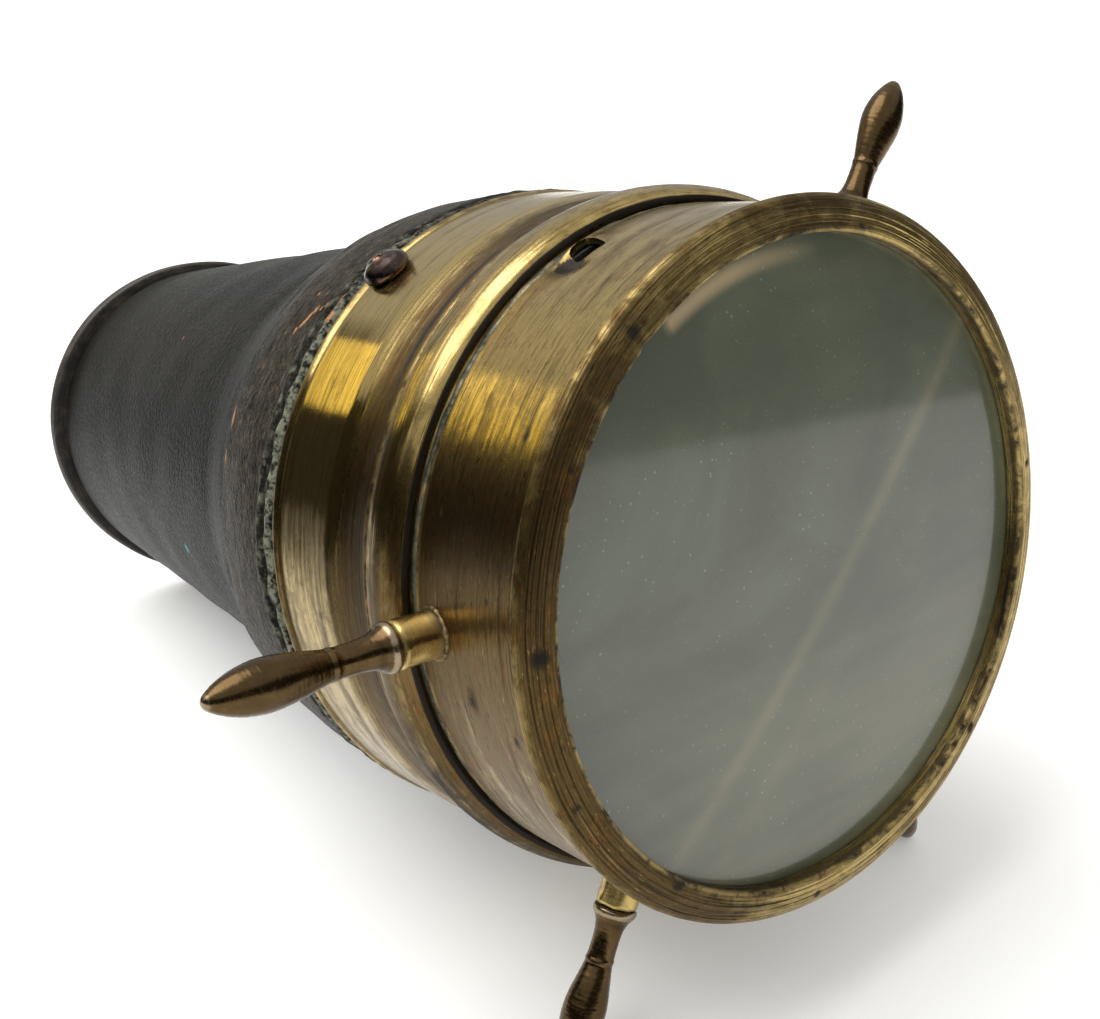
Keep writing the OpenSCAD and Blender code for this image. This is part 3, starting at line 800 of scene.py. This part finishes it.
class KALEIDOSCOPE_OT_case(BuildStep, bpy.types.Operator):
    """Brushed case wall with the torn seat of the lost handle"""

    bl_idname = "kaleidoscope.case"
    bl_label = "Case wall"

    def build(self):
        rear = rounded([
            (222.95, 61.0), (222.95, 61.6), (223.1, 61.95), (223.5, 62.08), (223.9, CASE_RADIUS),
        ], 0.14)
        wall = rounded([(224.1, CASE_RADIUS), (236, CASE_RADIUS), (247.6, CASE_RADIUS)], 0.33, 1)
        front = rounded([
            (247.9, CASE_RADIUS), (250.1, CASE_RADIUS), (250.5, 61.95), (250.55, 61.6),
            (250.55, 61.0),
        ], 0.2, 1)
        inner = [(246, 60.9), (236, 60.9), (228, 60.9), (224, 60.9)]
        near = np.arange(EMPTY_SEAT_ROLL - 9, EMPTY_SEAT_ROLL + 12, 0.28)
        far = np.linspace(near[-1], near[0] + 360, 500)[1:-1]
        rolls = np.concatenate([near, far])
        tool = sizes().tool_marks / MM

        def height(t):
            outer = t.radius > 61.5
            marks = t.swell(51, (0, 3), (0.6, 2.4), 24) * tool * 0.4
            around = wrapped(EMPTY_SEAT_ROLL - t.roll) * math.pi / 180 * CASE_RADIUS
            along = t.place - SEAT_PLACE
            dent = np.exp(-(((around + 3.6) / 2.6) ** 2 + ((along + 0.6) / 3.4) ** 2)) * 1.15
            lip = np.exp(-(((around - 1.6) / 3.4) ** 2 + ((along + 4.6) / 0.8) ** 2)) * 0.45
            curl = np.exp(-(((around - 4.8) / 1.2) ** 2 + ((along + 1.8) / 3.0) ** 2)) * 0.25
            return np.where(outer, marks + lip + curl - dent, dent - lip - curl)

        t = Turned("case_wall", np.vstack([rear, wall, front, inner]), rolls, AXIS, height)
        # roll, place, half size around, half size along
        spots = (
            (147.0, 245.0, 1.3, 0.9), (138.0, 238.5, 0.7, 0.5), (170.0, 243.0, 0.8, 0.5),
            (160.0, 229.0, 1.0, 0.5), (186.0, 236.0, 3.0, 1.6), (190.0, 246.0, 1.4, 0.8),
            (133.0, 228.0, 1.0, 0.4), (121.0, 241.0, 2.8, 0.5), (30.0, 236.0, 3.0, 1.0),
            (280.0, 240.0, 2.5, 1.2),
        )
        soil_and_shade = sum(t.mark(*spot) for spot in spots) * 1.4
        streaks = fade(t.swell(52, (1, 9), (1.2, 5), 26), 0.75, 1) * 0.9
        feet = sum(t.mark(roll, SEAT_PLACE, 5.6, 5.6) for roll in HANDLE_ROLLS) * 0.5
        rims = ridge(t.place, 250.4, 1.2) + ridge(t.place, 223.6, 0.7) * 0.5
        # painted shade: the wall's whole inner side is painted full soot, so the torn seat reads black
        inside = (t.radius < 61.4) * 2
        t.paint("soil_and_shade", np.clip(soil_and_shade + streaks * 0.6 + feet + rims + inside, 0, 1))
        # darker over the lower side, rolls 146 round to 330, a little darker about roll 118 and
        # lighter about roll 215
        low = fade(t.roll, 146, 14) * fade(t.roll, 330, -40)
        high = ridge(wrapped(t.roll - 118), 0, 60) * 0.18
        age_and_shade = 0.16 + low * 0.62 + high - ridge(t.roll, 215, 30) * 0.2
        t.paint("age_and_shade", np.clip(age_and_shade, 0, 1))
        cutter = self.torn_hole()
        cut = t.object.modifiers.new("torn seat", "BOOLEAN")
        cut.object, cut.solver = cutter, "EXACT"
        bpy.context.view_layer.objects.active = t.object
        bpy.ops.object.modifier_apply(modifier=cut.name)
        bpy.data.objects.remove(cutter)
        self.darken_edge(t.object.data)
        c = colours()
        finish = brushed_brass("Wall brass", c.brass, c.tarnish, c.soot_and_shade, gloss=0.10, brush=1.1,
                               fine=1.2)
        t.finish(finish, "case", "turned_brass", "case_wall_ring")

    @staticmethod
    def darken_edge(mesh):
        """Painted shade on the cut faces of the torn seat, so the hole reads black."""
        spots = np.zeros(len(mesh.vertices) * 3)
        mesh.vertices.foreach_get("co", spots)
        x, y, place = spots.reshape(-1, 3).T / MM
        roll = np.degrees(np.arctan2(y, x))
        near = (abs(roll - EMPTY_SEAT_ROLL) < 6) & (abs(place - SEAT_PLACE) < 5.5)
        layer = mesh.attributes["soil_and_shade"]
        soil_and_shade = np.zeros(len(mesh.vertices), np.float32)
        layer.data.foreach_get("value", soil_and_shade)
        soil_and_shade[near & (np.hypot(x, y) < 61.6)] = 1.0
        layer.data.foreach_set("value", soil_and_shade)

    def torn_hole(self):
        """Prism through the wall in the ragged shape of the empty seat."""
        loop = np.array([
            (3.9, -4.2), (4.2, -2.2), (3.7, -0.4), (3.3, 1.3), (2.5, 2.5), (1.4, 2.2), (0.2, 1.9),
            (-1.0, 1.5), (-1.9, 0.6), (-2.2, -0.6), (-1.7, -1.8), (-1.3, -2.9), (-0.4, -3.9),
            (0.9, -4.25), (2.4, -4.35),
        ])
        for _ in range(2):
            nxt = np.roll(loop, -1, 0)
            loop = np.stack([loop * 0.75 + nxt * 0.25, loop * 0.25 + nxt * 0.75], 1).reshape(-1, 2)
        work = bmesh.new()
        rings = []
        for radius in (57.0, 66.0):
            ring = []
            for around, along in loop:
                roll = math.radians(EMPTY_SEAT_ROLL) - around / CASE_RADIUS
                across = radius * math.cos(roll), radius * math.sin(roll)
                ring.append(work.verts.new(Vector((*across, SEAT_PLACE + along)) * MM))
            rings.append(ring)
        count = len(loop)
        for k in range(count):
            n = (k + 1) % count
            work.faces.new((rings[0][k], rings[0][n], rings[1][n], rings[1][k]))
        work.faces.new(rings[0])
        work.faces.new(rings[1])
        bmesh.ops.recalc_face_normals(work, faces=work.faces)
        mesh = bpy.data.meshes.new("torn hole")
        work.to_mesh(mesh)
        work.free()
        cutter = bpy.data.objects.new("torn hole", mesh)
        cutter.matrix_world = AXIS
        bpy.context.scene.collection.objects.link(cutter)
        return cutter


class KALEIDOSCOPE_OT_seam(BuildStep, bpy.types.Operator):
    """Line of solder that holds the rear ring in the case"""

    bl_idname = "kaleidoscope.seam"
    bl_label = "Solder seam"

    def build(self):
        loop = np.linspace(0, 2 * math.pi, 19)[:-1]
        outline = np.stack([222.4 - np.cos(loop) * 1.0, 61.48 + np.sin(loop) * 0.58], 1)

        def height(t):
            thick = t.swell(61, (12, 60), (2, 6), 22) * 0.07
            blob = np.exp(-(((t.roll - 121) / 4.0) ** 2)) * 0.2
            return thick + blob - 0.06

        t = Turned("solder_seam", outline, even_rolls(), AXIS, height)
        t.finish(solder("Seam solder", (0.12, 0.125, 0.09)), "case", "tinned_brass")


class KALEIDOSCOPE_OT_bezel(BuildStep, bpy.types.Operator):
    """Convex bezel with its turned grooves"""

    bl_idname = "kaleidoscope.bezel"
    bl_label = "Bezel"

    def build(self):
        lip = rounded([
            (BEZEL_REAR, 61.0), (BEZEL_REAR, 63.0), (250.75, 63.35), (251.1, 63.5), (251.7, 63.5),
            (252.2, 63.25), (252.6, 62.85), (253.05, 62.1), (253.4, 61.3), (253.68, 60.4),
            (253.88, 59.4), (253.98, 58.4), (253.95, 57.75), (253.75, 57.35), (253.3, 57.12),
            (252.6, 57.1), (250.7, 57.1),
        ], 0.085)
        inner = [(250.7, 59.3), (237.2, 59.3), (237.2, 60.8)]
        depth = sizes().groove_depth / MM
        # each groove's distance from the bezel's outer corner, half width and share of the depth
        corner = 3.4
        grooves = (
            (0.55, 0.13, 0.35), (1.25, 0.10, 0.3), (1.75, 0.18, 0.7), (2.4, 0.12, 0.45),
            (2.75, 0.10, 0.3), (3.25, 0.20, 0.8), (3.8, 0.11, 0.4), (4.4, 0.20, 0.7),
            (4.9, 0.10, 0.3), (5.5, 0.14, 0.45), (6.3, 0.12, 0.3),
        )

        def height(t):
            on_lip = t.place > BEZEL_REAR + 0.05
            waver = swell(t.roll, 0, 71, (1, 5), (50, 90)) * 0.05
            cut = 0
            for number, (offset, half, deep) in enumerate(grooves):
                strength = 0.75 + swell(t.roll, 0, 72 + number, (1, 12), (50, 90)) * 0.3
                cut = cut + ridge(t.along - corner - waver, offset, half) * deep * strength
            scar = swell(t.roll, t.along * 3, 81, (3, 30), (1.2, 4), 22) * 0.012
            nick = t.mark(128.6, 253.6, 1.3, 1.2, 0.0) * 0.5
            blotch = fade(swell(t.roll, t.along * 2, 82, (60, 160), (2, 7), 30), 1.75, 1) * 0.10
            return (scar - cut * depth - nick - blotch) * on_lip

        t = Turned("bezel_turned", np.vstack([lip, inner]), even_rolls(), AXIS, height, blur=0.35)
        # the grooves that hold dirt, in the same terms
        cut = sum(ridge(t.along - corner, offset, half) * deep for offset, half, deep in (
            (1.75, 0.2, 0.55), (2.4, 0.15, 0.4), (3.25, 0.22, 0.6), (4.4, 0.22, 0.55),
            (5.5, 0.15, 0.4), (0.55, 0.15, 0.3),
        ))
        nicks = 0
        for at_roll, at_radius, size in (
            (128.6, 60.3, 1.3), (176.0, 60.4, 1.7), (226.5, 58.2, 1.4), (77.5, 57.9, 1.4),
            (150.0, 59.5, 0.6), (200.0, 61.0, 0.8), (5, 60, 1.2), (310, 59.5, 1.5),
            (262, 61.0, 1.0),
        ):
            around = wrapped(t.roll - at_roll) * math.pi / 180 * t.radius
            nick = np.clip(1 - np.hypot(around, t.radius - at_radius) / size, 0, 1)
            nicks = np.maximum(nicks, nick * (t.place > 252.4))
        patches = fade(swell(t.roll, t.along, 83, (3, 14), (1, 4), 24), 0.9, 1) * 0.5
        rim = ridge(t.radius, 57.4, 1.1) * 0.9 * (t.place > 252)
        t.paint("soil_and_shade", np.clip(cut + nicks * 2.4 + patches + rim, 0, 1))
        uneven = swell(t.roll, 0, 84, (1, 6), (50, 90)) * 0.1
        side = ridge(wrapped(t.roll - 188), 0, 78) * 0.8
        upper = ridge(wrapped(t.roll - 88), 0, 26) * 0.5
        t.paint("age_and_shade", 0.30 + uneven + side + upper)
        c = colours()
        finish = brushed_brass("Bezel brass", dimmed(c.brass, 0.95), dimmed(c.tarnish, 0.62),
                               c.soot_and_shade, gloss=0.20, brush=1.5, wear=0.6, speckle=0.8)
        t.finish(finish, "case", "bezel_brass", "bezel_ring", sharp=60)


class KALEIDOSCOPE_OT_glass(BuildStep, bpy.types.Operator):
    """Ground front glass with dust and smears"""

    bl_idname = "kaleidoscope.glass"
    bl_label = "Front glass"

    def build(self):
        radii = np.concatenate([np.linspace(0, 58.9, 100), [59.08]])
        rear = [(248.12, 0), (248.12, 58.9), (248.3, 59.08)]
        front = np.stack([np.where(radii > 58.95, 250.3, 250.48), radii], 1)[::-1]
        t = Turned("ground_glass_disc", np.vstack([rear, front]), even_rolls(360), AXIS,
                   closed=False)
        x, y = t.across()
        t.paint("cloudy", fade(y, 8, -50) * fade(x, -62, 30) * 0.75 + 0.1)
        # painted reflection of the bezel's inner lip: a tan arc near the upper rim
        arc = ridge(np.hypot(x + 1.0, y - 1.0), 53.2, 2.3)
        t.paint("paper", arc * fade(t.roll, 122.5, -1.5) * fade(t.roll, 84, 22))
        # a slightly bowed streak across the glass, with a fainter one beside its lower half
        right, up = x - 2.8, y + 7.4
        bow = right * 0.687 - up * 0.727 + (right * 0.727 + up * 0.687) ** 2 * 0.0012
        beside = np.exp(-(((bow - 9.5) / 2.2) ** 2)) * fade(y, 0, -34) * 0.35
        t.paint("streak", np.exp(-((bow / 1.7) ** 2)) * 0.9 + beside)
        c = colours()
        finish = dusty_glass("Dusty ground glass", c.glass, c.dust)
        t.finish(finish, "case", "ground_glass", "front_glass")


class KALEIDOSCOPE_OT_sockets(BuildStep, bpy.types.Operator):
    """Handle sockets with solder at their feet"""

    bl_idname = "kaleidoscope.sockets"
    bl_label = "Handle sockets"

    def build(self):
        c = colours()
        brass = brushed_brass("Socket brass", dimmed(c.brass, 1.15), dimmed(c.tarnish, 1.3),
                              c.soot_and_shade, gloss=0.20, brush=0.3, fine=0.25)
        bead_finish = solder("Foot solder", (0.17, 0.12, 0.05))
        bead = sizes().solder_bead / MM * 0.62
        outline = rounded([
            (60.4, 1.9), (60.4, 3.85), (61.5, 3.92), (64, 3.9), (67.6, 3.9), (68.4, 3.92), (68.8, 3.8),
            (69.04, 3.4), (69.06, 1.9),
        ], 0.2)
        ring = np.linspace(0, 2 * math.pi, 11)[:-1]
        for number, roll in enumerate(HANDLE_ROLLS):
            where = seat_frame(roll, SEAT_PLACE)

            def worn(t, seed=90 + number):
                return t.swell(seed, (2, 7), (3, 9)) * 0.045

            t = Turned(f"socket_body_{number + 1}", outline, even_rolls(96), where, worn, blur=0.5)
            soil_and_shade = ridge(t.place, 62.0, 2.2) * 0.8 + ridge(t.place, 69, 0.8)
            t.paint("soil_and_shade", np.clip(soil_and_shade, 0, 1))
            t.paint("age_and_shade", np.full(len(t.roll), 0.2))
            t.finish(brass, "case", "aged_brass", f"socket_{number + 1}")

            # the bead follows the round wall: it dips where the socket meets the wall's sides
            loops = np.stack([np.cos(ring) * bead, 4.05 + np.sin(ring) * bead], 1)

            def lumpy(t, seed=100 + number):
                return swell(t.roll, 0, seed, (3, 15), (20, 60)) * 0.13

            b = Turned(f"socket_solder_{number + 1}", loops, even_rolls(96), where, lumpy)
            mesh = b.object.data
            points = np.zeros(len(mesh.vertices) * 3)
            mesh.vertices.foreach_get("co", points)
            points = points.reshape(-1, 3)
            points[:, 2] += np.sqrt(np.maximum((CASE_RADIUS * MM) ** 2 - points[:, 1] ** 2, 0))
            mesh.vertices.foreach_set("co", points.ravel())
            b.finish(bead_finish, "case", "aged_brass")


class KALEIDOSCOPE_OT_handles(BuildStep, bpy.types.Operator):
    """Turned bronze handles"""

    bl_idname = "kaleidoscope.handles"
    bl_label = "Handles"

    def build(self):
        # part of the handle's length, radius
        profile = (
            (0, 0), (0, 3.7), (0.008, 3.95), (0.025, 4.1), (0.045, 3.98), (0.06, 3.7),
            (0.095, 3.05), (0.14, 2.68), (0.2, 2.47), (0.3, 2.45), (0.328, 2.5), (0.336, 2.64),
            (0.358, 2.64), (0.366, 2.52), (0.42, 2.85), (0.52, 3.45), (0.62, 3.92), (0.68, 4.02),
            (0.73, 3.98), (0.79, 3.7), (0.84, 3.32), (0.89, 2.75), (0.93, 2.18), (0.965, 1.5),
            (0.985, 1.05), (0.998, 0.5), (1.0, 0),
        )
        length = HANDLE_TIP - HANDLE_FOOT
        outline = rounded([(HANDLE_FOOT + part * length, radius) for part, radius in profile], 0.18)
        c = colours()
        finish = aged_bronze("Handle bronze", c.bronze, dimmed(c.bronze, 1.5), (0.46, 0.37, 0.25))
        for number, roll in enumerate(HANDLE_ROLLS):
            def height(t, seed=110 + number):
                turned = t.swell(seed, (0, 1), (0.5, 2.0), 18) * 0.008
                dents = t.swell(seed + 20, (2, 6), (4, 12)) * 0.02
                return (turned + dents) * np.clip(t.radius / 2, 0, 1)

            t = Turned(f"handle_turned_{number + 1}", outline, even_rolls(96),
                       seat_frame(roll, SEAT_PLACE), height, closed=False, blur=0.9)
            t.finish(finish, "case", "dark_bronze", f"handle_{number + 1}", sharp=60)


class KALEIDOSCOPE_OT_inside(BuildStep, bpy.types.Operator):
    """Finishes of the parts inside the barrel and case"""

    bl_idname = "kaleidoscope.inside"
    bl_label = "Inner parts"

    def build(self):
        card = blackened("Black card", (0.012, 0.012, 0.013), (0.03, 0.028, 0.026), 0.6, True)
        disc = blackened("Eye disc", (0.017, 0.015, 0.013), (0.06, 0.045, 0.033), 0.4, True)
        wood = plain_stuff("Packing wood", (0.24, 0.15, 0.08), (0.13, 0.075, 0.04), 0.55,
                           grain=(0.3, 0.3, 0.05))
        brass = plain_stuff("Hidden brass", (0.36, 0.27, 0.13), (0.16, 0.11, 0.06), 0.35, 1.0,
                            (0.5, 0.5, 0.9), 0.04)
        # the hub's tinned brass is painted nearly black: painted shade where it shows through the torn
        # seat
        shaded_tin = plain_stuff("Tinned brass", (0.07, 0.07, 0.056), (0.03, 0.028, 0.022), 0.5, 0.8)
        silver = plain_stuff("Silvering", (0.75, 0.76, 0.76), (0.62, 0.63, 0.62), 0.04, 1.0,
                             depth=0.005)
        for finish, nodes in (
            # the flare collar is wood; its black card finish is painted shade in the gap between the
            # leather and the band
            (card, ("mirror_board", "cell_spacer", "barrel_tube", "flare_collar")),
            (disc, ("eye_disc",)),
            (wood, ("mirror_support_rear", "mirror_support_front")),
            (brass, ("spigot", "retaining_ring", "eye_glass_ring", "glass_retainer")),
            (shaded_tin, ("case_hub",)),
            (silver, ("mirror_left", "mirror_right")),
            (clear_piece("Old clear glass", (0.86, 0.90, 0.87)), ("eye_glass", "inner_glass")),
            (clear_piece("Red glass", (0.62, 0.06, 0.04)), ("glass_chips",)),
            (clear_piece("Blue glass", (0.08, 0.22, 0.55)), ("glass_ampoules",)),
        ):
            for name in nodes:
                materials = frame["nodes"][name].data.materials
                materials.clear()
                materials.append(finish)


class KALEIDOSCOPE_OT_stage(BuildStep, bpy.types.Operator):
    """Pale floor, soft lights and camera"""

    bl_idname = "kaleidoscope.stage"
    bl_label = "Stage"

    def build(self):
        self.floor()
        self.lights()
        self.camera()

    def floor(self):
        work = bmesh.new()
        bmesh.ops.create_grid(work, x_segments=24, y_segments=24, size=30)
        mesh = bpy.data.meshes.new("floor")
        work.to_mesh(mesh)
        work.free()
        floor = bpy.data.objects.new("floor", mesh)
        bpy.context.scene.collection.objects.link(floor)
        f = Finish("Pale floor")
        tone = colours().floor
        paper = f.noise(f.scaled(0.002, 0.002, 0.002), detail=3)
        f.shade(Base_Color=f.mix(f.window(paper, 0.3, 0.7), tone, dimmed(tone, 0.985)),
                Roughness=f.window(paper, 0.3, 0.7, 0.75, 0.85),
                Emission_Color=(1, 1, 1, 1), Emission_Strength=0.22)
        mesh.materials.append(f.material)

    def reflected_card(self, name, foot, facing, width, top, tone):
        """A standing card that only shows in reflections, as a studio flag does."""
        aside = Vector((-facing[1], facing[0], 0)).normalized() * width / 2
        left, right = Vector((*foot, 0)) - aside, Vector((*foot, 0)) + aside
        rise = Vector((0, 0, top))
        corners = [left, right, right + rise, left + rise]
        mesh = bpy.data.meshes.new(name)
        mesh.from_pydata(corners, [], [(0, 1, 2, 3)])
        card = bpy.data.objects.new(name, mesh)
        bpy.context.scene.collection.objects.link(card)
        f = Finish(name)
        felt = f.noise(f.scaled(0.05, 0.05, 0.05), detail=3)
        f.shade(Base_Color=f.mix(felt, tone, dimmed(tone, 0.8)), Roughness=0.9,
                Specular_IOR_Level=0.0)
        mesh.materials.append(f.material)
        for ray in ("camera", "diffuse", "shadow", "volume_scatter"):
            setattr(card, f"visible_{ray}", False)

    def warm_panel(self, power):
        """A small warm light behind and beside the barrel, which gilds the brass."""
        data = bpy.data.lights.new("warm panel", "AREA")
        data.shape, data.size, data.size_y = "RECTANGLE", 0.33, 0.25
        data.energy, data.color = power, (1.0, 0.815, 0.25)
        lamp = bpy.data.objects.new("warm panel", data)
        place = Vector((-0.455, 1.12, 0.45))
        aim = (Vector((-0.05, -0.07, 0.12)) - place).to_track_quat("-Z", "Y")
        turn = Matrix.Rotation(math.radians(-42), 4, "Z")
        lamp.matrix_world = Matrix.Translation(place) @ aim.to_matrix().to_4x4() @ turn
        lamp.visible_camera = False
        bpy.context.scene.collection.objects.link(lamp)

    def overhead(self, strength):
        """A broad soft light from above."""
        sun = bpy.data.lights.new("overhead", "SUN")
        sun.energy, sun.angle, sun.color = strength, math.radians(50), (1.0, 0.995, 0.985)
        lamp = bpy.data.objects.new("overhead", sun)
        lamp.rotation_euler = (math.radians(-18), math.radians(-22), 0)
        bpy.context.scene.collection.objects.link(lamp)

    def lights(self):
        strength = bpy.context.scene.kaleidoscope_lights
        self.overhead(strength.overhead)
        self.warm_panel(strength.strip)
        grey, dark = (0.05, 0.048, 0.04), (0.06, 0.057, 0.05)
        for name, foot, facing, width, top, tone in (
            ("side flag", (-0.195, 0.245), (0.96, 0.28), 0.60, 0.17, grey),
            ("rear flag", (-0.44, 0.36), (0, -1), 0.70, 0.168, grey),
            ("left flag", (-0.95, 0.1), (1, 0.05), 2.6, 0.42, (0.03, 0.028, 0.024)),
            ("left wall", (-1.55, 1.75), (0.60, -0.80), 3.4, 0.95, dark),
            ("side wall", (-3.1, -1.4), (1, 0), 5.4, 1.9, dark),
            ("front wall", (0.6, -3.4), (0, 1), 9.0, 2.4, dark),
            ("front flag", (0.75, -0.85), (-1, 1), 2.4, 0.8, (0.05, 0.05, 0.045)),
        ):
            self.reflected_card(name, foot, facing, width, top, tone)
        self.room(strength.room)
        view = bpy.context.scene.view_settings
        view.view_transform = "Standard"
        view.look = "None"

    def room(self, strength):
        """Light from all round that grows from the horizon to the ceiling."""
        world = bpy.data.worlds.new("studio")
        world.use_nodes = True
        bpy.context.scene.world = world
        tree = world.node_tree
        tree.nodes.clear()

        def add(kind, *inputs, **settings):
            made = tree.nodes.new(kind)
            for key, value in settings.items():
                setattr(made, key, value)
            for socket, value in zip(made.inputs, inputs):
                if isinstance(value, bpy.types.NodeSocket):
                    tree.links.new(value, socket)
                elif value is not None:
                    socket.default_value = value
            return made

        sky = add("ShaderNodeTexCoord").outputs["Generated"]
        parts = add("ShaderNodeSeparateXYZ", sky).outputs
        level = add("ShaderNodeMath", parts[2], 0.42, operation="ADD").outputs[0]
        level = add("ShaderNodeMath", level, 1.45, operation="DIVIDE").outputs[0]
        ramp = add("ShaderNodeValToRGB", level)
        back = add("ShaderNodeBackground", ramp.outputs[0], strength)
        add("ShaderNodeOutputWorld", back.outputs[0])
        elements = ramp.color_ramp.elements
        elements.remove(elements[1])
        elements[0].color = colour((0.07, 0.065, 0.055))
        for spot, tone in (
            (0.22, (0.10, 0.095, 0.08)), (0.29, (0.52, 0.50, 0.45)), (0.45, (0.62, 0.61, 0.57)),
            (0.7, (0.85, 0.85, 0.84)), (1.0, (1.0, 1.0, 1.0)),
        ):
            elements.new(spot).color = colour(tone)

    def camera(self):
        data = bpy.data.cameras.new("camera")
        data.sensor_width, data.lens = 36.0, 42.545
        data.shift_x, data.shift_y = -0.2273, 0.0005
        data.clip_end = 100
        eye = bpy.data.objects.new("camera", data)
        right = Vector((0.6898848, -0.72187604, 0.05435016))
        up = Vector((0.24856022, 0.30671928, 0.91877152))
        back = -Vector((0.67990939, 0.62033722, -0.39103064))
        turn = Matrix((right, up, back)).transposed().to_4x4()
        turn.translation = (-0.15429, -0.25677, 0.18488)
        eye.matrix_world = turn
        bpy.context.scene.collection.objects.link(eye)
        bpy.context.scene.camera = eye


STEPS = (
    KALEIDOSCOPE_OT_stage,
    KALEIDOSCOPE_OT_leather,
    KALEIDOSCOPE_OT_rim,
    KALEIDOSCOPE_OT_band,
    KALEIDOSCOPE_OT_screws,
    KALEIDOSCOPE_OT_case,
    KALEIDOSCOPE_OT_seam,
    KALEIDOSCOPE_OT_bezel,
    KALEIDOSCOPE_OT_glass,
    KALEIDOSCOPE_OT_sockets,
    KALEIDOSCOPE_OT_handles,
    KALEIDOSCOPE_OT_inside,
)


class KALEIDOSCOPE_PT_panel(bpy.types.Panel):
    """Lists the build steps and their settings"""

    bl_idname = "KALEIDOSCOPE_PT_panel"
    bl_label = "Kaleidoscope"
    bl_space_type = "VIEW_3D"
    bl_region_type = "UI"
    bl_category = "Kaleidoscope"

    def draw(self, context):
        column = self.layout.column()
        for group in (context.scene.kaleidoscope_sizes, context.scene.kaleidoscope_colours,
                      context.scene.kaleidoscope_lights):
            for key in group.__annotations__:
                column.prop(group, key)
        for step in STEPS:
            column.operator(step.bl_idname)


GROUPS = {
    "kaleidoscope_sizes": KaleidoscopeSizes,
    "kaleidoscope_colours": KaleidoscopeColours,
    "kaleidoscope_lights": KaleidoscopeLights,
}


def register():
    for name, group in GROUPS.items():
        bpy.utils.register_class(group)
        setattr(bpy.types.Scene, name, PointerProperty(type=group))
    for entry in (*STEPS, KALEIDOSCOPE_PT_panel):
        bpy.utils.register_class(entry)


def unregister():
    for entry in reversed((*STEPS, KALEIDOSCOPE_PT_panel)):
        bpy.utils.unregister_class(entry)
    for name, group in GROUPS.items():
        delattr(bpy.types.Scene, name)
        bpy.utils.unregister_class(group)


def main():
    register()
    for step in STEPS:
        group, name = step.bl_idname.split(".")
        getattr(getattr(bpy.ops, group), name)()


if __name__ == "__main__":
    main()
